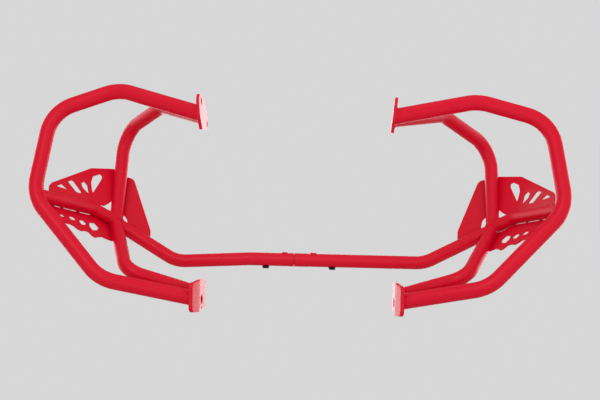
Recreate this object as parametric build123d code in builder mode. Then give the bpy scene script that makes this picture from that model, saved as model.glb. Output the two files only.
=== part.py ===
from build123d import *
import os

os.makedirs("parts", exist_ok=True)

# Crash bars for a motorcycle: two welded tube halves, one for each side, that join on
# a cross tube under the engine.  +X is to the right, +Y away from the viewer, +Z up.

# Tubes
OUTER_OD = 25.4          # loop that takes the blow
INNER_OD = 24.0          # loop behind it
BRACE_OD = 22.0          # between the two loops
CROSS_OD = 22.0          # under the engine
WALL = 2.0
OUTER_BEND = 62.0        # bend radii on the tube axis
INNER_BEND = 42.0
LOWER_BEND = 32.0
BRACE_BEND = 40.0
CROSS_BEND = 55.0

# Sheet
GUARD_T = 2.0            # guard plates between the loops
GUARD_GAP = 1.0          # lower guard plate clear of the outer loop
GUARD_PRESS = 0.3        # guard plate pressed on the upright before welding
GUARD_DROP = 8.5         # lower guard plate under the axes of the tubes it joins
UPPER_PLATE_T = 5.0
LOWER_PLATE_T = 6.0

# Mount holes
UPPER_HOLE_D = 14.0
UPPER_SMALL_HOLE_D = 10.5
LOWER_HOLE_D = 16.0

# Joint in the middle of the cross tube
CENTRE_X = -8.0          # where the two halves meet
CENTRE_Y = 31.0
CENTRE_Z = -101.0
CENTRE_GAP = 0.8         # between the two collars
LEFT_COLLAR = 9.0
RIGHT_COLLAR = 22.0
COLLAR_STEP = 0.3        # collar proud of the cross tube
COLLAR_OD = CROSS_OD + 2 * COLLAR_STEP
SLUG_LENGTH = 150.0
SLUG_CLEARANCE = 0.2     # slug in the tube bore, on the radius
BOLT_SPACING = 112.0
BOLT_D = 6.0
BOLT_CLEARANCE = 0.2     # on the radius
BOLT_DEPTH = 12.0        # shank below the tube wall
HEAD_D = 12.0
HEAD_H = 4.2
HEX_AF = 4.0
HEX_DEPTH = 2.2
PLUG_SPACING = 48.0
PLUG_D = 10.0
PLUG_H = 1.8

# The bend points are measured from the camera's level; this brings the middle of the
# whole part to the origin.
SHIFT = Vector(-0.16, -15.13, 0.35)

# Bend points of the tubes of each half; X is counted outboard from the middle.
SIDES = {
    "left": {
        "sign": -1,
        "outer": [(160, -95, 136), (299, -42, 175), (409, -44, 136),
                  (431, -69, -2), (312, -105, -133), (172, -72, -161)],
        "upper_inner": [(161, -58, 132), (240, 50, 155), (322, 150, 114), (318, 58, -46)],
        "lower_inner": [(277, -65, -121), (178, -33, -152)],
        "brace": [(422, -71, -1), (353, 38, -23)],
        "cross": [(208, 31, -108), (83, 31, -101)],
        "upper_plate_x": 159,
        "lower_plate_x": 160.5,
        "lower_plate_z": -160.5,
        "upper_slide": (2.4, -3),      # cut-outs of the upper guard plate
        "lower_slide": (-3.5, 3.7),    # lower guard plate
        "gusset_lift": -6,
    },
    "right": {
        "sign": 1,
        "outer": [(156, -95, 136), (289, -42, 166), (407, -44, 135),
                  (432, -69, -5), (309, -105, -132), (176, -72, -159)],
        "upper_inner": [(158, -58, 133), (237, 50, 148), (326, 150, 97), (326, 58, -43)],
        "lower_inner": [(276, -65, -118), (179, -33, -150)],
        "brace": [(424, -72, -6), (360, 41, -22)],
        "cross": [(210, 31, -101)],
        "upper_plate_x": 156,
        "lower_plate_x": 167.5,
        "lower_plate_z": -158.3,
        "upper_slide": (-2.4, 3),
        "lower_slide": (3.5, -3.7),
        "gusset_lift": 6,
    },
}
BRACE_RISE = 3.0         # brace meets the upright this far above the mitre
JOINT_RUN = 20.0         # spare length on a tube before its end is cut

# Upper mount plate: its middle, how it turns and its outline (depth, height)
UPPER_PLATE_Y = -75.0
UPPER_PLATE_Z = 135.0
UPPER_PLATE_TOE = 0.5    # far edge towards the middle, degrees
UPPER_PLATE_LEAN = 6.0   # foot towards the middle, degrees
UPPER_OUTLINE = [(-38, 20), (-24, 31), (2, 32), (24, 24), (48, 6), (48, -24), (-26, -26), (-40, -8)]
UPPER_CORNER = 7.0
UPPER_HOLE = (-10, 20)
UPPER_SMALL_HOLE = (39, -14)

# Lower mount plate: folded on an upright line, with its outline (depth, height)
LOWER_FOLD_Y = -66.0
LOWER_NEAR = 25.0        # depth of the near leaf
LOWER_FAR = 43.0
LOWER_NEAR_TOE = 21.0
LOWER_FAR_TOE = 5.2
LOWER_OUTLINE = [(-23.3, -24.5), (-2, -24.5), (1.5, -20.5), (42.7, -20.5), (42.7, 27.5), (4, 27.5),
                 (-12, 24.5), (-23.3, 24.5)]
LOWER_ROUND = 9.0        # corners of the near edge
LOWER_CORNER = 1.6       # the other corners
LOWER_REACH = 40.0       # blank before the outline is cut
LOWER_HOLE = (16, -5)
NOTCH_D = 8.0            # half-round notch under the hole

# Upper guard plate.  Its two panels are drawn from their common fold (up the fold,
# across it), the gusset from the back of the upright (up the upright, inboard).
FOLD_START = 1.0         # fold outboard of the brace's bend point
FOLD_OUT = 17.0          # the way the fold rises
FOLD_BACK = 37.0
FOLD_UP = 67.0
FOLD_SEAT = 100.0        # height on the upright where the middle panel lies on it
OUTER_PANEL = [(0, -2), (-19, 103), (0, 103), (10, 101), (17.5, 95.5), (81, -2)]
OUTER_CUTS = [
    [(12.5, 88), (21.5, 73), (15, 59.5)],
    [(31, 58.5), (38, 49), (38, 43.5), (23, 27.5), (18.5, 30.5), (17.5, 41)],
    [(40, 26), (47, 17), (42.5, 10), (24, 8.5), (32, 23.5)],
]
MIDDLE_PANEL = [(12, -2), (79, -2), (83, 6.5), (93.5, 62), (31, 50), (25, 41), (18, 34), (11, 24)]
MIDDLE_CUT = [(32, 3), (39, 2), (53, 2), (66.5, 7.5), (74.5, 22), (72, 26.5), (65, 24.5)]
GUSSET = [
    (32, 2), (104, 2), (104, 11), (101.5, 18.5), (96.5, 23), (-2, 59), (-36, 60), (-16, 22),
    (12, 18), (18, 16.5), (24, 13), (28, 9),
]
GUSSET_REACH = 0.8       # where the gusset lies on the cross tube, as a share of its first run
CUT_ROUND = 0.8

# Lower guard plate: drawn from the mitre (down the lower tube, outboard)
LOWER_PANEL = [
    (4, 0), (57, 0), (62, 18), (62.5, 25), (70, 34), (78.5, 41), (78.5, 48), (72, 55), (74.5, 62),
    (82.5, 71), (82.5, 78), (79, 85), (80, 92), (84, 101), (84, 110), (43, 140), (-2, 44),
]
DIAMOND = [(-0.4, 0.9), (-1, -0.3), (-0.5, -1), (0.5, -0.5), (1, 0.45), (0.5, 1)]
# Middle of each diamond and its half sizes
LOWER_CUTS = [
    ((44.3, 41), (15.5, 10)),
    ((51.5, 64.5), (9.5, 7)),
    ((56.5, 85.5), (7, 7)),
    ((66.5, 107), (5, 5)),
]
# Slots between the tabs that hold the plate to the brace: from and to along the brace
TAB_SLOTS = [(38, 54), (59, 92), (97, 126)]
SLOT_GAP = 1.5           # height of a slot

# Blocks that trim tube ends and panels
TRIM_SIZE = 130.0
TRIM_DEPTH = 70.0
MITRE_SIZE = 60.0
MITRE_DEPTH = 40.0
FOLD_TRIM = 300.0


def at(point, sign):
    return Vector(sign * point[0], point[1], point[2]) + SHIFT


def unit(v):
    return v.normalized()


def bar(points, bend, od):
    """Solid round bar along the bend points."""
    with BuildPart() as made:
        with BuildLine() as path:
            if len(points) > 2:
                FilletPolyline(*points, radius=bend)
            else:
                Line(*points)
        with BuildSketch(Plane(origin=path.line @ 0, z_dir=path.line % 0)):
            Circle(od / 2)
        sweep(path=path.line)
    return made.part


def past(points, run):
    """Bend points with both ends carried on in a straight line."""
    first = points[0] + unit(points[0] - points[1]) * run
    last = points[-1] + unit(points[-1] - points[-2]) * run
    return [first] + list(points[1:-1]) + [last]


def beyond(plane, size=TRIM_SIZE, depth=TRIM_DEPTH):
    """Block on the +Z side of a plane, to trim with."""
    with BuildPart() as made:
        with Locations(plane.location):
            Box(size, size, depth, align=(Align.CENTER, Align.CENTER, Align.MIN))
    return made.part


def fold_plane(origin, along, towards):
    """Plane through a fold line and a third point; its X runs along the fold."""
    x = unit(along)
    side = towards - origin
    y = unit(side - x * side.dot(x))
    return Plane(origin=origin, x_dir=x, z_dir=x.cross(y))


def moved(points, slide):
    return [(u + slide[0], v + slide[1]) for u, v in points]


def panel(plane, outline, cuts):
    """Flat sheet about a plane, with cut-outs rounded at their corners."""
    with BuildPart() as made:
        with BuildSketch(plane):
            with BuildLine():
                Polyline(*outline, close=True)
            make_face()
            for cut in cuts:
                with BuildSketch(mode=Mode.PRIVATE) as opening:
                    with BuildLine():
                        Polyline(*cut, close=True)
                    make_face()
                    fillet(opening.vertices(), CUT_ROUND)
                add(opening.sketch, mode=Mode.SUBTRACT)
        extrude(amount=GUARD_T / 2, both=True)
    return made.part


def export(name, part):
    part.label = name
    export_step(part, "parts/" + name + ".step")


for side, s in SIDES.items():
    sign = s["sign"]
    outer = [at(p, sign) for p in s["outer"]]
    upper = [at(p, sign) for p in s["upper_inner"]]
    mitre = upper[-1]
    lower = [mitre] + [at(p, sign) for p in s["lower_inner"]]
    up = unit(upper[-2] - mitre)
    brace = [at(p, sign) for p in s["brace"]] + [mitre + up * BRACE_RISE]
    centre = Vector(CENTRE_X, CENTRE_Y, CENTRE_Z) + SHIFT
    collar = LEFT_COLLAR if sign < 0 else RIGHT_COLLAR
    cross_end = centre + Vector(sign * (CENTRE_GAP / 2 + collar), 0, 0)
    cross = [mitre] + [at(p, sign) for p in s["cross"]] + [cross_end]

    # Planes of the mount plates: +Z outboard, +X to the far side, +Y up or down with the side
    upper_plane = Plane(
        origin=at((s["upper_plate_x"], UPPER_PLATE_Y, UPPER_PLATE_Z), sign),
        x_dir=(0, 1, 0), z_dir=(sign, 0, 0),
    ).rotated((0, sign * UPPER_PLATE_LEAN, sign * UPPER_PLATE_TOE))
    fold = at((s["lower_plate_x"], LOWER_FOLD_Y, s["lower_plate_z"]), sign)
    lower_base = Plane(origin=fold, x_dir=(0, 1, 0), z_dir=(sign, 0, 0))
    near_plane = lower_base.rotated((0, 0, sign * LOWER_NEAR_TOE))
    far_plane = lower_base.rotated((0, 0, sign * LOWER_FAR_TOE))
    plates = [beyond(-upper_plane), beyond(-near_plane), beyond(-far_plane)]

    # Solid bars, used for the tubes themselves and to cope what meets them
    turn = Plane(origin=mitre, z_dir=unit(mitre - upper[-2]) + unit(lower[1] - mitre))
    below = beyond(turn, MITRE_SIZE, MITRE_DEPTH)
    above = beyond(-turn, MITRE_SIZE, MITRE_DEPTH)
    outer_path = past(outer, JOINT_RUN)
    upper_path = past(upper, JOINT_RUN)
    lower_path = past(lower, JOINT_RUN)

    with BuildPart() as outer_bar:
        add(bar(outer_path, OUTER_BEND, OUTER_OD))
        for block in plates:
            add(block, mode=Mode.SUBTRACT)
    with BuildPart() as upper_bar:
        add(bar(upper_path, INNER_BEND, INNER_OD))
        add(plates[0], mode=Mode.SUBTRACT)
        add(below, mode=Mode.SUBTRACT)
    with BuildPart() as lower_bar:
        add(bar(lower_path, LOWER_BEND, INNER_OD))
        for block in plates[1:]:
            add(block, mode=Mode.SUBTRACT)
        add(above, mode=Mode.SUBTRACT)
    loops = [outer_bar.part, upper_bar.part, lower_bar.part]

    with BuildPart() as brace_bar:
        add(bar(brace, BRACE_BEND, BRACE_OD))
        for loop in loops:
            add(loop, mode=Mode.SUBTRACT)
    with BuildPart() as cross_bar:
        add(bar(cross, CROSS_BEND, CROSS_OD))
        for loop in loops[1:]:
            add(loop, mode=Mode.SUBTRACT)

    # Tubes
    with BuildPart() as outer_loop_tube:
        add(outer_bar.part)
        add(bar(outer_path, OUTER_BEND, OUTER_OD - 2 * WALL), mode=Mode.SUBTRACT)
    export(side + "_outer_loop_tube", outer_loop_tube.part)

    with BuildPart() as upper_inner_tube:
        add(upper_bar.part)
        add(bar(upper_path, INNER_BEND, INNER_OD - 2 * WALL), mode=Mode.SUBTRACT)
    export(side + "_upper_inner_tube", upper_inner_tube.part)

    with BuildPart() as lower_inner_tube:
        add(lower_bar.part)
        add(bar(lower_path, LOWER_BEND, INNER_OD - 2 * WALL), mode=Mode.SUBTRACT)
    export(side + "_lower_inner_tube", lower_inner_tube.part)

    with BuildPart() as brace_tube:
        add(brace_bar.part)
        add(bar(brace, BRACE_BEND, BRACE_OD - 2 * WALL), mode=Mode.SUBTRACT)
    export(side + "_brace_tube", brace_tube.part)

    bolt_x = sign * BOLT_SPACING / 2 + SHIFT.X
    with BuildPart() as cross_tube:
        add(cross_bar.part)
        add(bar(cross, CROSS_BEND, CROSS_OD - 2 * WALL), mode=Mode.SUBTRACT)
        with Locations(Location((bolt_x, centre.Y, centre.Z - CROSS_OD / 2))):
            Cylinder(BOLT_D / 2 + BOLT_CLEARANCE, CROSS_OD, mode=Mode.SUBTRACT)
    export(side + "_cross_tube", cross_tube.part)

    # Mount plates
    with BuildPart() as upper_mount_plate:
        with BuildSketch(upper_plane) as face:
            with BuildLine():
                Polyline(*[(a, sign * b) for a, b in UPPER_OUTLINE], close=True)
            make_face()
            fillet(face.vertices(), UPPER_CORNER)
            with Locations((UPPER_HOLE[0], sign * UPPER_HOLE[1])):
                Circle(UPPER_HOLE_D / 2, mode=Mode.SUBTRACT)
            with Locations((UPPER_SMALL_HOLE[0], sign * UPPER_SMALL_HOLE[1])):
                Circle(UPPER_SMALL_HOLE_D / 2, mode=Mode.SUBTRACT)
        extrude(amount=-UPPER_PLATE_T)
    export(side + "_upper_mount_plate", upper_mount_plate.part)

    near_in = near_plane.z_dir * -LOWER_PLATE_T
    far_in = far_plane.z_dir * -LOWER_PLATE_T
    inside = (near_in + far_in) * (1 / (1 + near_plane.z_dir.dot(far_plane.z_dir)))
    near_end = near_plane.x_dir * -LOWER_NEAR
    far_end = far_plane.x_dir * LOWER_FAR
    strip = [near_end, Vector(), far_end, far_end + far_in, inside, near_end + near_in]
    with BuildPart() as lower_mount_plate:
        with BuildSketch(Plane(origin=fold)):
            with BuildLine():
                Polyline(*[(v.X, v.Y) for v in strip], close=True)
            make_face()
        extrude(amount=LOWER_REACH, both=True)
        with BuildSketch(Plane(origin=fold, x_dir=(0, 1, 0), z_dir=(1, 0, 0))) as face:
            with BuildLine():
                Polyline(*LOWER_OUTLINE, close=True)
            make_face()
            fillet(face.vertices().group_by(Axis.X)[0], LOWER_ROUND)
            fillet(face.vertices().filter_by(lambda v: v.X > LOWER_OUTLINE[-2][0] - 0.1), LOWER_CORNER)
            with Locations((LOWER_HOLE[0], LOWER_OUTLINE[2][1])):
                Circle(NOTCH_D / 2, mode=Mode.SUBTRACT)
        extrude(amount=LOWER_REACH, both=True, mode=Mode.INTERSECT)
        with Locations(far_plane.location * Location((LOWER_HOLE[0], sign * LOWER_HOLE[1], 0))):
            Hole(LOWER_HOLE_D / 2, LOWER_PLATE_T * 2)
    export(side + "_lower_mount_plate", lower_mount_plate.part)

    # Upper guard plate: two panels folded on a line that rises from the brace bend
    tubes = [upper_bar.part, lower_bar.part, brace_bar.part, cross_bar.part]
    back = unit(Vector(0, 1, 0) - up * up.Y)
    seat = mitre + back * (INNER_OD / 2 + GUARD_T / 2 - GUARD_PRESS)
    fold_foot = brace[1] + Vector(sign * FOLD_START, 0, 0)
    fold_line = Vector(sign * FOLD_OUT, FOLD_BACK, FOLD_UP)
    outer_plane = fold_plane(fold_foot, fold_line, brace[0])
    middle_plane = fold_plane(fold_foot, fold_line, seat + up * FOLD_SEAT)
    halfway = Plane(origin=fold_foot, z_dir=outer_plane.y_dir - middle_plane.y_dir)
    with BuildPart() as outer_panel:
        add(panel(outer_plane, OUTER_PANEL, [moved(cut, s["upper_slide"]) for cut in OUTER_CUTS]))
        add(beyond(-halfway, FOLD_TRIM), mode=Mode.SUBTRACT)
    with BuildPart() as middle_panel:
        add(panel(middle_plane, MIDDLE_PANEL, [MIDDLE_CUT]))
        add(beyond(halfway, FOLD_TRIM), mode=Mode.SUBTRACT)
    with BuildPart() as upper_guard_plate:
        add(outer_panel.part)
        add(middle_panel.part)
        for tube in tubes:
            add(tube, mode=Mode.SUBTRACT)
    export(side + "_upper_guard_plate", upper_guard_plate.part)

    # Gusset between the upright and the cross tube, laid on the back of both
    cross_back = cross[0] + (cross[1] - cross[0]) * GUSSET_REACH + Vector(0, CROSS_OD / 2, 0)
    gusset_plane = fold_plane(seat, up, cross_back)
    with BuildPart() as inner_gusset_plate:
        add(panel(gusset_plane, moved(GUSSET, (s["gusset_lift"], 0)), []))
        for tube in tubes:
            add(tube, mode=Mode.SUBTRACT)
    export(side + "_inner_gusset_plate", inner_gusset_plate.part)

    # Lower guard plate, under the brace and behind the lower tube
    low_plane = fold_plane(mitre, lower[1] - mitre, brace[0]).offset(-sign * GUARD_DROP)
    low_cuts = []
    for middle, (half_u, half_v) in LOWER_CUTS:
        diamond = [(u * half_u, v * half_v) for u, v in DIAMOND]
        low_cuts.append(moved(moved(diamond, middle), s["lower_slide"]))
    brace_start = low_plane.to_local_coords(brace[0])
    brace_run = low_plane.to_local_coords(brace[1]) - brace_start
    along = unit(Vector(brace_run.X, brace_run.Y))
    away = Vector(-along.Y, along.X)
    depth = GUARD_DROP - GUARD_T / 2
    reach = ((BRACE_OD / 2) ** 2 - depth**2) ** 0.5 + SLOT_GAP
    for near, far in TAB_SLOTS:
        corners = [(near, -reach), (far, -reach), (far, reach), (near, reach)]
        points = [brace_start + along * t + away * d for t, d in corners]
        low_cuts.append([(p.X, p.Y) for p in points])
    with BuildPart() as lower_guard_plate:
        add(panel(low_plane, moved(LOWER_PANEL, s["lower_slide"]), low_cuts))
        add(bar(outer_path, OUTER_BEND, OUTER_OD + 2 * GUARD_GAP), mode=Mode.SUBTRACT)
        for tube in tubes:
            add(tube, mode=Mode.SUBTRACT)
    export(side + "_lower_guard_plate", lower_guard_plate.part)

    # End collar on the cross tube, bolt under it and plug on top
    with BuildPart() as end_collar:
        with Locations(Location(cross_end - Vector(sign * collar / 2, 0, 0), (0, 90, 0))):
            Cylinder(COLLAR_OD / 2, collar)
            Cylinder(CROSS_OD / 2 - WALL, collar, mode=Mode.SUBTRACT)
    export(side + "_end_collar", end_collar.part)

    with BuildPart() as joint_bolt:
        with Locations(Location((bolt_x, centre.Y, centre.Z - CROSS_OD / 2))):
            Cylinder(HEAD_D / 2, HEAD_H, align=(Align.CENTER, Align.CENTER, Align.MAX))
            Cylinder(BOLT_D / 2, BOLT_DEPTH, align=(Align.CENTER, Align.CENTER, Align.MIN))
        fillet(joint_bolt.edges().sort_by(Axis.Z)[0], HEAD_H * 0.55)
        with BuildSketch(Plane(origin=(bolt_x, centre.Y, centre.Z - CROSS_OD / 2 - HEAD_H))):
            RegularPolygon(HEX_AF / 2, 6, major_radius=False)
        extrude(amount=HEX_DEPTH, mode=Mode.SUBTRACT)
    export(side + "_joint_bolt", joint_bolt.part)

    with BuildPart() as top_plug:
        with Locations(Location((sign * PLUG_SPACING / 2 + SHIFT.X, centre.Y, centre.Z + CROSS_OD / 4))):
            Cylinder(PLUG_D / 2, CROSS_OD / 4 + PLUG_H, align=(Align.CENTER, Align.CENTER, Align.MIN))
        fillet(top_plug.edges().sort_by(Axis.Z)[-1], PLUG_H * 0.6)
        add(cross_bar.part, mode=Mode.SUBTRACT)
        add(end_collar.part, mode=Mode.SUBTRACT)
    export(side + "_top_plug", top_plug.part)

# Slug that joins the two cross tubes
slug_r = CROSS_OD / 2 - WALL - SLUG_CLEARANCE
with BuildPart() as joining_slug:
    with Locations(Location(Vector(0, CENTRE_Y, CENTRE_Z) + SHIFT, (0, 90, 0))):
        Cylinder(slug_r, SLUG_LENGTH)
    with Locations(Vector(-BOLT_SPACING / 2, CENTRE_Y, CENTRE_Z) + SHIFT,
                   Vector(BOLT_SPACING / 2, CENTRE_Y, CENTRE_Z) + SHIFT):
        Cylinder(BOLT_D / 2 + BOLT_CLEARANCE, CROSS_OD, mode=Mode.SUBTRACT)
    chamfer(joining_slug.edges().filter_by(GeomType.CIRCLE).group_by(Axis.X)[0], 1)
    chamfer(joining_slug.edges().filter_by(GeomType.CIRCLE).group_by(Axis.X)[-1], 1)
export("joining_slug", joining_slug.part)
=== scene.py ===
import math

import bmesh
import bpy
from bpy.props import FloatProperty, FloatVectorProperty, IntProperty, PointerProperty
from mathutils import Matrix, Vector


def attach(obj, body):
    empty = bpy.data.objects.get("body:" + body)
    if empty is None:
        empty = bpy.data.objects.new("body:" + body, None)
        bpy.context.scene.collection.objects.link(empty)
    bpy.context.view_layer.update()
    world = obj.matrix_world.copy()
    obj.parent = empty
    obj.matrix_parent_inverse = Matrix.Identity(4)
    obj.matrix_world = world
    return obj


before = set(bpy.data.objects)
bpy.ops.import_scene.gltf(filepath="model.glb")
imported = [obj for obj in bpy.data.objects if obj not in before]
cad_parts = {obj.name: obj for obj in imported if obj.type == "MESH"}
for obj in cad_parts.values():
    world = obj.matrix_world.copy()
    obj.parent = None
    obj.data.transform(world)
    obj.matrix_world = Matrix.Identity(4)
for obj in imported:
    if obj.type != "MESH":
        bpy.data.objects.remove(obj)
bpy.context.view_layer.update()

bl_info = {
    "name": "Motorcycle Crash Bars",
    "version": (1, 0, 0),
    "blender": (4, 5, 0),
    "location": "View3D > Sidebar > Crash Bars",
    "description": "Paints, welds and lights a set of motorcycle crash bars",
    "category": "Object",
}

# Nodes of each half, without the name of their side
SIDES = ("left", "right")
TUBES = ("outer_loop_tube", "upper_inner_tube", "lower_inner_tube", "brace_tube", "cross_tube")
SHEETS = (
    "upper_guard_plate",
    "lower_guard_plate",
    "inner_gusset_plate",
    "upper_mount_plate",
    "lower_mount_plate",
)
JOINT_RED = ("end_collar", "top_plug")

# Meshes, in metres
MERGE = 0.00002                      # points this near are one point
FOLD_ANGLE = math.radians(32)        # edges up to this angle are shaded smooth
RIM_ANGLE = math.radians(35)         # edges above this angle belong to a tube's rim
RIM_APART = 0.02                     # rims further apart than this are on different ends
TUBE_ENDS = 2
BOLTED_TUBE = "cross_tube"           # its end at the middle is not welded
LEAST_BEAD_POINTS = 12
BEAD_ROUNDNESS = 2
FLOOR_SEGMENTS = 96
FLOOR_FADE = (0.55, 0.98)            # shares of the floor's radius where its fade starts and ends

# Materials, with noise scales per metre
WHITE = (1.0, 1.0, 1.0, 1.0)
DULLEST = 0.95                       # share of a colour at its dullest spot
CLOUD_DETAIL = 3.0
CLOUD_MEAN = 0.5
PAINT_CLOUD = 18.0
PEEL_SCALE = 1400.0
PEEL_DETAIL = 1.0
PEEL_HEIGHT = 0.00005
PAINT_SPECULAR = 0.2
STEEL_CLOUD = 220.0
STEEL_DRIFT = 0.12
BOLT_ROUGHNESS = 0.42
BOLT_SPECULAR = 0.4
SLUG_ROUGHNESS = 0.35
MIX_FACTOR, MIX_A, MIX_B = 0, 6, 7   # colour sockets of a Mix node
MIX_RESULT = 2

# World: gloss sees a bright wall behind the part and a dim front
SOFT_LEVEL = 0.85                    # even light on dull surfaces
WALL_LEVEL = 2.9
WALL_FULL = 0.7                      # Y of a direction at which the wall is at full level
WALL_BAND = (0.1, 0.5)               # rise or fall of a direction over which the wall dims
WALL_DIM = 0.06                      # share of the wall's level left past that band
FRONT_LEVEL = 0.02

# Each lamp's name, place, width in metres and power in watts, and whether gloss shows it
LAMPS = (
    ("top_softbox", (0.0, -0.4, 2.2), 2.4, 12.0, False),
    ("front_softbox", (-0.6, -2.4, 1.6), 1.0, 7.0, True),
    ("front_fill", (0.3, -3.0, 0.2), 2.0, 15.0, False),
    ("side_softbox", (2.2, -1.2, 0.4), 1.2, 5.0, False),
)

# Camera
SENSOR_WIDTH = 36.0                  # millimetres


class PaintSettings(bpy.types.PropertyGroup):
    """Colours and gloss of the crash bars"""

    red: FloatVectorProperty(
        name="Red", description="Colour of the satin paint", subtype="COLOR", size=3,
        min=0.0, max=1.0, default=(0.63, 0.0, 0.018),
    )
    red_roughness: FloatProperty(
        name="Red Roughness", description="Roughness of the paint under its clear coat",
        subtype="FACTOR", min=0.0, max=1.0, default=0.36,
    )
    coat: FloatProperty(
        name="Clear Coat", description="Weight of the clear coat",
        subtype="FACTOR", min=0.0, max=1.0, default=0.12,
    )
    coat_roughness: FloatProperty(
        name="Coat Roughness", description="Roughness of the clear coat",
        subtype="FACTOR", min=0.0, max=1.0, default=0.3,
    )
    peel: FloatProperty(
        name="Orange Peel", description="Strength of the fine waviness of the paint",
        subtype="FACTOR", min=0.0, max=1.0, default=0.006,
    )
    gloss_drift: FloatProperty(
        name="Gloss Drift", description="How much the roughness of the paint wanders",
        subtype="FACTOR", min=0.0, max=0.5, default=0.08,
    )
    black: FloatVectorProperty(
        name="Bolt Black", description="Colour of the blackened bolts", subtype="COLOR", size=3,
        min=0.0, max=1.0, default=(0.012, 0.012, 0.013),
    )
    steel: FloatVectorProperty(
        name="Bare Steel", description="Colour of the slug inside the joint",
        subtype="COLOR", size=3, min=0.0, max=1.0, default=(0.5, 0.5, 0.51),
    )


class WeldSettings(bpy.types.PropertyGroup):
    """Weld beads round the tube ends"""

    bead: FloatProperty(
        name="Bead", description="Half width of a weld bead", subtype="DISTANCE", unit="LENGTH",
        min=0.0005, max=0.005, default=0.0016,
    )
    pitch: FloatProperty(
        name="Pitch", description="Length of one weld ripple", subtype="DISTANCE", unit="LENGTH",
        min=0.001, max=0.01, default=0.0032,
    )
    ripple: FloatProperty(
        name="Ripple", description="How much a bead swells at each ripple", subtype="FACTOR",
        min=0.0, max=0.5, default=0.14,
    )
    points: IntProperty(name="Points", description="Points on one ripple", min=2, max=8, default=4)


class StageSettings(bpy.types.PropertyGroup):
    """Camera, floor and light"""

    lens: FloatProperty(
        name="Lens", description="Focal length on a 36 mm wide sensor", subtype="DISTANCE_CAMERA",
        min=10.0, max=300.0, default=83.91,
    )
    camera: FloatVectorProperty(
        name="Camera", description="Place of the camera", subtype="XYZ", unit="LENGTH", size=3,
        default=(0.13212, -2.33683, 0.0004),
    )
    pan: FloatProperty(
        name="Pan", description="Turn of the camera to the left", subtype="ANGLE", unit="ROTATION",
        default=math.radians(3.231),
    )
    roll: FloatProperty(
        name="Roll", description="Roll of the camera, its right side raised",
        subtype="ANGLE", unit="ROTATION", default=math.radians(1.264),
    )
    backdrop: FloatVectorProperty(
        name="Backdrop", description="Colour behind the part", subtype="COLOR", size=3,
        min=0.0, max=1.0, default=(0.679, 0.679, 0.679),
    )
    floor_drop: FloatProperty(
        name="Floor Drop", description="Floor below the part's middle",
        subtype="DISTANCE", unit="LENGTH", default=0.5,
    )
    floor_radius: FloatProperty(
        name="Floor Radius", description="Radius of the floor disc",
        subtype="DISTANCE", unit="LENGTH", default=0.86,
    )


class Socket:
    """A shader socket with arithmetic that adds its own Math nodes"""

    def __init__(self, tree, link):
        self.tree = tree
        self.link = link

    def _math(self, operation, first, second):
        return self.tree.node("ShaderNodeMath", {"operation": operation}, {0: first, 1: second})

    def __add__(self, other):
        return self._math("ADD", self, other)

    __radd__ = __add__

    def __sub__(self, other):
        return self._math("SUBTRACT", self, other)

    def __rsub__(self, other):
        return self._math("SUBTRACT", other, self)

    def __mul__(self, other):
        return self._math("MULTIPLY", self, other)

    __rmul__ = __mul__


class Tree:
    """A node tree that is filled by node()"""

    def __init__(self, owner):
        owner.use_nodes = True
        self.nodes = owner.node_tree.nodes
        self.links = owner.node_tree.links
        self.nodes.clear()

    def node(self, kind, settings=None, inputs=None, output=0):
        """Adds a node, sets it up, fills its sockets and returns one of its outputs"""
        made = self.nodes.new(kind)
        for name, value in (settings or {}).items():
            setattr(made, name, value)
        for name, value in (inputs or {}).items():
            if isinstance(value, Socket):
                self.links.new(value.link, made.inputs[name])
            else:
                made.inputs[name].default_value = value
        return Socket(self, made.outputs[output]) if made.outputs else None


def opaque(colour):
    """A colour with full alpha"""
    return (*colour, 1.0)


def noise(tree, scale, detail):
    """Noise on object coordinates"""
    place = tree.node("ShaderNodeTexCoord", output="Object")
    return tree.node("ShaderNodeTexNoise", None, {
        "Vector": place, "Scale": scale, "Detail": detail,
    })


def mottled(tree, colour, roughness, drift, scale):
    """Colour and roughness that wander a little over the surface"""
    cloud = noise(tree, scale, CLOUD_DETAIL)
    dull = tuple(DULLEST * part for part in colour)
    shade = tree.node("ShaderNodeMix", {"data_type": "RGBA"}, {
        MIX_FACTOR: cloud, MIX_A: opaque(dull), MIX_B: opaque(colour),
    }, output=MIX_RESULT)
    return shade, roughness + (cloud - CLOUD_MEAN) * drift


def satin_red(settings):
    """Satin red paint under a thin clear coat"""
    material = bpy.data.materials.new("satin_red")
    tree = Tree(material)
    shade, roughness = mottled(
        tree, settings.red, settings.red_roughness, settings.gloss_drift, PAINT_CLOUD,
    )
    skin = tree.node("ShaderNodeBump", None, {
        "Strength": settings.peel,
        "Distance": PEEL_HEIGHT,
        "Height": noise(tree, PEEL_SCALE, PEEL_DETAIL),
    })
    paint = tree.node("ShaderNodeBsdfPrincipled", None, {
        "Base Color": shade,
        "Roughness": roughness,
        "Specular IOR Level": PAINT_SPECULAR,
        "Coat Weight": settings.coat,
        "Coat Roughness": settings.coat_roughness,
        "Normal": skin,
    })
    tree.node("ShaderNodeOutputMaterial", None, {"Surface": paint})
    return material


def bolt_black(settings):
    """Blackened steel of the bolt heads"""
    material = bpy.data.materials.new("bolt_black")
    tree = Tree(material)
    shade, roughness = mottled(tree, settings.black, BOLT_ROUGHNESS, STEEL_DRIFT, STEEL_CLOUD)
    steel = tree.node("ShaderNodeBsdfPrincipled", None, {
        "Base Color": shade, "Roughness": roughness, "Specular IOR Level": BOLT_SPECULAR,
    })
    tree.node("ShaderNodeOutputMaterial", None, {"Surface": steel})
    return material


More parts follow.
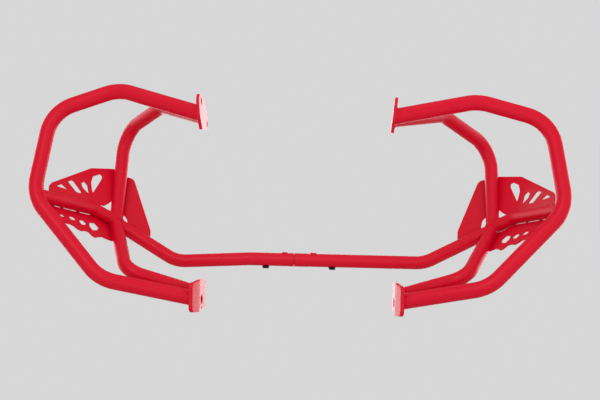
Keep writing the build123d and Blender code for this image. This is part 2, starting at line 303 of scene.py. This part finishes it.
def slug_steel(settings):
    """Bare steel of the slug inside the joint"""
    material = bpy.data.materials.new("slug_steel")
    tree = Tree(material)
    shade, roughness = mottled(tree, settings.steel, SLUG_ROUGHNESS, STEEL_DRIFT, STEEL_CLOUD)
    steel = tree.node("ShaderNodeBsdfPrincipled", None, {
        "Base Color": shade, "Roughness": roughness, "Metallic": 1.0,
    })
    tree.node("ShaderNodeOutputMaterial", None, {"Surface": steel})
    return material


def finish(name, maker):
    """One material of each kind, made when it is first asked for

    No name here is a slot's, because the frame may bring a plain material of that name.
    """
    return bpy.data.materials.get(name) or maker(bpy.context.scene.crash_paint)


def smooth_skin():
    """Geometry nodes that join a node's loose triangles and shade them smooth up to a fold"""
    group = bpy.data.node_groups.get("smooth_skin")
    if group:
        return group
    group = bpy.data.node_groups.new("smooth_skin", "GeometryNodeTree")
    group.interface.new_socket("Geometry", in_out="INPUT", socket_type="NodeSocketGeometry")
    group.interface.new_socket("Geometry", in_out="OUTPUT", socket_type="NodeSocketGeometry")
    nodes, links = group.nodes, group.links
    entry = nodes.new("NodeGroupInput")
    leave = nodes.new("NodeGroupOutput")
    joined = nodes.new("GeometryNodeMergeByDistance")
    joined.inputs["Distance"].default_value = MERGE
    round_faces = nodes.new("GeometryNodeSetShadeSmooth")
    folds = nodes.new("GeometryNodeInputMeshEdgeAngle")
    shallow = nodes.new("FunctionNodeCompare")
    shallow.operation = "LESS_EQUAL"
    shallow.inputs[1].default_value = FOLD_ANGLE
    sharp_edges = nodes.new("GeometryNodeSetShadeSmooth")
    sharp_edges.domain = "EDGE"
    links.new(entry.outputs[0], joined.inputs["Geometry"])
    links.new(joined.outputs[0], round_faces.inputs["Geometry"])
    links.new(round_faces.outputs[0], sharp_edges.inputs["Geometry"])
    links.new(folds.outputs["Unsigned Angle"], shallow.inputs[0])
    links.new(shallow.outputs[0], sharp_edges.inputs["Shade Smooth"])
    links.new(sharp_edges.outputs[0], leave.inputs[0])
    return group


def coat(node_name, material):
    """Gives a CAD node one material and a smooth skin"""
    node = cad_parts[node_name]
    node.data.materials.clear()
    node.data.materials.append(material)
    skin = node.modifiers.new("smooth_skin", "NODES")
    skin.node_group = smooth_skin()


def end_rims(node_name):
    """Rims of a tube's cut ends, inner and outer, each as a closed list of points"""
    work = bmesh.new()
    work.from_mesh(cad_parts[node_name].data)
    bmesh.ops.remove_doubles(work, verts=work.verts, dist=MERGE)
    # A dict keeps the edges in mesh order, so that every run finds the same rims
    sharp = dict.fromkeys(
        e for e in work.edges if len(e.link_faces) == 2 and e.calc_face_angle(0.0) > RIM_ANGLE
    )
    rims = []
    while sharp:
        edge = next(iter(sharp))
        del sharp[edge]
        start, here = edge.verts
        rim = [start.co.copy(), here.co.copy()]
        while here is not start:
            onward = [e for e in here.link_edges if e in sharp]
            if not onward:
                break
            del sharp[onward[0]]
            here = onward[0].other_vert(here)
            rim.append(here.co.copy())
        if here is start:
            rims.append(rim[:-1])
    work.free()
    return rims


def rim_length(rim):
    """Length of a closed rim"""
    return sum((a - b).length for a, b in zip(rim, rim[1:] + rim[:1]))


def rim_middle(rim):
    """Mean of a rim's points"""
    return sum(rim, Vector()) / len(rim)


def outer_rims(rims):
    """The longest rim at each of the tube's ends"""
    kept = []
    for rim in sorted(rims, key=rim_length, reverse=True):
        middle = rim_middle(rim)
        if all((middle - rim_middle(k)).length > RIM_APART for k in kept):
            kept.append(rim)
    return kept[:TUBE_ENDS]


def even_points(rim, step):
    """Points at an even step along a closed rim"""
    total = rim_length(rim)
    count = max(LEAST_BEAD_POINTS, round(total / step))
    wanted = [total * i / count for i in range(count)]
    points = []
    done = 0.0
    for a, b in zip(rim, rim[1:] + rim[:1]):
        span = (b - a).length
        while len(points) < count and wanted[len(points)] < done + span:
            points.append(a.lerp(b, (wanted[len(points)] - done) / span))
        done += span
    return points


def bead_mesh(name, rims, settings):
    """Rippled beads along closed rims, as one mesh"""
    curve = bpy.data.curves.new(name, "CURVE")
    curve.dimensions = "3D"
    curve.bevel_depth = settings.bead
    curve.bevel_resolution = BEAD_ROUNDNESS
    for rim in rims:
        points = even_points(rim, settings.pitch / settings.points)
        spline = curve.splines.new("POLY")
        spline.points.add(len(points) - 1)
        spline.use_cyclic_u = True
        for i, (target, point) in enumerate(zip(spline.points, points)):
            target.co = (*point, 1.0)
            target.radius = 1.0 + settings.ripple * math.cos(math.tau * i / settings.points)
    line = bpy.data.objects.new(name, curve)
    mesh = bpy.data.meshes.new_from_object(line)
    bpy.data.objects.remove(line)
    mesh.name = name
    mesh.shade_smooth()
    return mesh


class CRASH_OT_paint_tubes(bpy.types.Operator):
    """Paints the bent tubes of both halves"""

    bl_idname = "crash.paint_tubes"
    bl_label = "Paint Tubes"

    def execute(self, context):
        for side in SIDES:
            for tube in TUBES:
                coat(f"{side}_{tube}", finish("satin_red", satin_red))
        return {"FINISHED"}


class CRASH_OT_paint_plates(bpy.types.Operator):
    """Paints the guard, gusset and mount plates"""

    bl_idname = "crash.paint_plates"
    bl_label = "Paint Plates"

    def execute(self, context):
        for side in SIDES:
            for sheet in SHEETS:
                coat(f"{side}_{sheet}", finish("satin_red", satin_red))
        return {"FINISHED"}


class CRASH_OT_dress_joint(bpy.types.Operator):
    """Paints the collars and plugs of the middle joint and blackens its bolts"""

    bl_idname = "crash.dress_joint"
    bl_label = "Dress Middle Joint"

    def execute(self, context):
        for side in SIDES:
            for piece in JOINT_RED:
                coat(f"{side}_{piece}", finish("satin_red", satin_red))
            coat(f"{side}_joint_bolt", finish("bolt_black", bolt_black))
        coat("joining_slug", finish("slug_steel", slug_steel))
        return {"FINISHED"}


class CRASH_OT_weld_tubes(bpy.types.Operator):
    """Lays a weld bead round each welded tube end"""

    bl_idname = "crash.weld_tubes"
    bl_label = "Weld Tubes"

    def execute(self, context):
        settings = context.scene.crash_welds
        for side in SIDES:
            for tube in TUBES:
                name = f"{side}_{tube}"
                rims = outer_rims(end_rims(name))
                if not rims:
                    raise RuntimeError(f"no cut end found on {name}")
                if tube == BOLTED_TUBE:
                    rims = [max(rims, key=lambda rim: abs(rim_middle(rim).x))]
                mesh = bead_mesh(f"{name}_weld", rims, settings)
                bead = bpy.data.objects.new(f"{name}_weld", mesh)
                bead.data.materials.append(finish("satin_red", satin_red))
                context.scene.collection.objects.link(bead)
                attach(bead, "root")
        return {"FINISHED"}


class CRASH_OT_build_stage(bpy.types.Operator):
    """Sets up the floor, the light and the camera"""

    bl_idname = "crash.build_stage"
    bl_label = "Build Stage"

    def execute(self, context):
        settings = context.scene.crash_stage
        context.scene.view_settings.view_transform = "Standard"
        self.floor(context, settings)
        self.surroundings(context, settings)
        self.lamps(context)
        self.camera(context, settings)
        return {"FINISHED"}

    def floor(self, context, settings):
        """Pale disc that fades into the backdrop at its rim"""
        work = bmesh.new()
        drop = Matrix.Translation((0.0, 0.0, -settings.floor_drop))
        bmesh.ops.create_circle(
            work, cap_ends=True, segments=FLOOR_SEGMENTS, radius=settings.floor_radius, matrix=drop,
        )
        mesh = bpy.data.meshes.new("floor")
        work.to_mesh(mesh)
        work.free()
        material = bpy.data.materials.new("floor_grey")
        tree = Tree(material)
        place = tree.node("ShaderNodeTexCoord", output="Object")
        apart = tree.node("ShaderNodeVectorMath", {"operation": "MULTIPLY"}, {
            0: place, 1: (1.0, 1.0, 0.0),
        })
        reach = tree.node("ShaderNodeVectorMath", {"operation": "LENGTH"}, {0: apart}, "Value")
        starts, ends = (settings.floor_radius * share for share in FLOOR_FADE)
        fade = tree.node("ShaderNodeMapRange", {"interpolation_type": "SMOOTHSTEP"}, {
            "Value": reach, "From Min": starts, "From Max": ends,
        })
        ground = tree.node("ShaderNodeBsdfDiffuse", None, {"Color": opaque(settings.backdrop)})
        clear = tree.node("ShaderNodeBsdfTransparent")
        mixed = tree.node("ShaderNodeMixShader", None, {0: fade, 1: ground, 2: clear})
        tree.node("ShaderNodeOutputMaterial", None, {"Surface": mixed})
        mesh.materials.append(material)
        floor = bpy.data.objects.new("floor", mesh)
        floor.visible_glossy = False
        context.scene.collection.objects.link(floor)

    def surroundings(self, context, settings):
        """Even grey behind the part; its gloss sees a bright back and a dim front"""
        world = bpy.data.worlds.new("studio")
        context.scene.world = world
        tree = Tree(world)
        way = tree.node("ShaderNodeTexCoord", output="Generated")
        parts = tree.node("ShaderNodeSeparateXYZ", None, {0: way})
        behind = Socket(tree, parts.link.node.outputs["Y"])
        height = tree.node("ShaderNodeMath", {"operation": "ABSOLUTE"}, {
            0: Socket(tree, parts.link.node.outputs["Z"]),
        })
        wall = tree.node("ShaderNodeMapRange", {"interpolation_type": "SMOOTHSTEP"}, {
            "Value": behind, "From Max": WALL_FULL, "To Max": WALL_LEVEL,
        })
        level = tree.node("ShaderNodeMapRange", {"interpolation_type": "SMOOTHSTEP"}, {
            "Value": height, "From Min": WALL_BAND[0], "From Max": WALL_BAND[1],
            "To Min": 1.0, "To Max": WALL_DIM,
        })
        rays = tree.node("ShaderNodeLightPath")
        seen = Socket(tree, rays.link.node.outputs["Is Camera Ray"])
        glossy = Socket(tree, rays.link.node.outputs["Is Glossy Ray"])
        plain = tree.node("ShaderNodeBackground", None, {"Color": opaque(settings.backdrop)})
        soft = tree.node("ShaderNodeBackground", None, {"Color": WHITE, "Strength": SOFT_LEVEL})
        shine = tree.node("ShaderNodeBackground", None, {
            "Color": WHITE, "Strength": wall * level + FRONT_LEVEL,
        })
        light = tree.node("ShaderNodeMixShader", None, {0: glossy, 1: soft, 2: shine})
        both = tree.node("ShaderNodeMixShader", None, {0: seen, 1: light, 2: plain})
        tree.node("ShaderNodeOutputWorld", None, {"Surface": both})

    def lamps(self, context):
        """Soft lamps over the part, at its front and at its right, all turned to its middle"""
        for name, place, size, power, shows in LAMPS:
            lamp = bpy.data.lights.new(name, "AREA")
            lamp.size = size
            lamp.energy = power
            holder = bpy.data.objects.new(name, lamp)
            holder.location = place
            holder.visible_glossy = shows
            holder.rotation_euler = (-Vector(place)).to_track_quat("-Z", "Y").to_euler()
            context.scene.collection.objects.link(holder)

    def camera(self, context, settings):
        """Camera a little right of the middle, turned back to it and rolled"""
        lens = bpy.data.cameras.new("camera")
        lens.lens = settings.lens
        lens.sensor_width = SENSOR_WIDTH
        camera = bpy.data.objects.new("camera", lens)
        ahead = Vector((-math.sin(settings.pan), math.cos(settings.pan), 0.0))
        level = Vector((math.cos(settings.pan), math.sin(settings.pan), 0.0))
        upright = Vector((0.0, 0.0, 1.0))
        raised = level * math.cos(settings.roll) + upright * math.sin(settings.roll)
        up = raised.cross(ahead)
        turn = Matrix((raised, up, -ahead)).transposed()
        camera.matrix_world = Matrix.Translation(settings.camera) @ turn.to_4x4()
        context.scene.collection.objects.link(camera)
        context.scene.camera = camera


class CRASH_PT_sidebar(bpy.types.Panel):
    """Settings and steps of the crash bars"""

    bl_idname = "CRASH_PT_sidebar"
    bl_label = "Crash Bars"
    bl_space_type = "VIEW_3D"
    bl_region_type = "UI"
    bl_category = "Crash Bars"

    def draw(self, context):
        layout = self.layout
        for group in SETTINGS:
            settings = getattr(context.scene, group)
            box = layout.box()
            for name in settings.__annotations__:
                box.prop(settings, name)
        for step in OPERATORS:
            layout.operator(step.bl_idname)


SETTINGS = {"crash_paint": PaintSettings, "crash_welds": WeldSettings, "crash_stage": StageSettings}
OPERATORS = (
    CRASH_OT_paint_tubes,
    CRASH_OT_paint_plates,
    CRASH_OT_dress_joint,
    CRASH_OT_weld_tubes,
    CRASH_OT_build_stage,
)


def register():
    for name, group in SETTINGS.items():
        bpy.utils.register_class(group)
        setattr(bpy.types.Scene, name, PointerProperty(type=group))
    for step in OPERATORS:
        bpy.utils.register_class(step)
    bpy.utils.register_class(CRASH_PT_sidebar)


def unregister():
    bpy.utils.unregister_class(CRASH_PT_sidebar)
    for step in reversed(OPERATORS):
        bpy.utils.unregister_class(step)
    for name, group in SETTINGS.items():
        delattr(bpy.types.Scene, name)
        bpy.utils.unregister_class(group)


def main():
    register()
    bpy.ops.crash.paint_tubes()
    bpy.ops.crash.paint_plates()
    bpy.ops.crash.dress_joint()
    bpy.ops.crash.weld_tubes()
    bpy.ops.crash.build_stage()


if __name__ == "__main__":
    main()
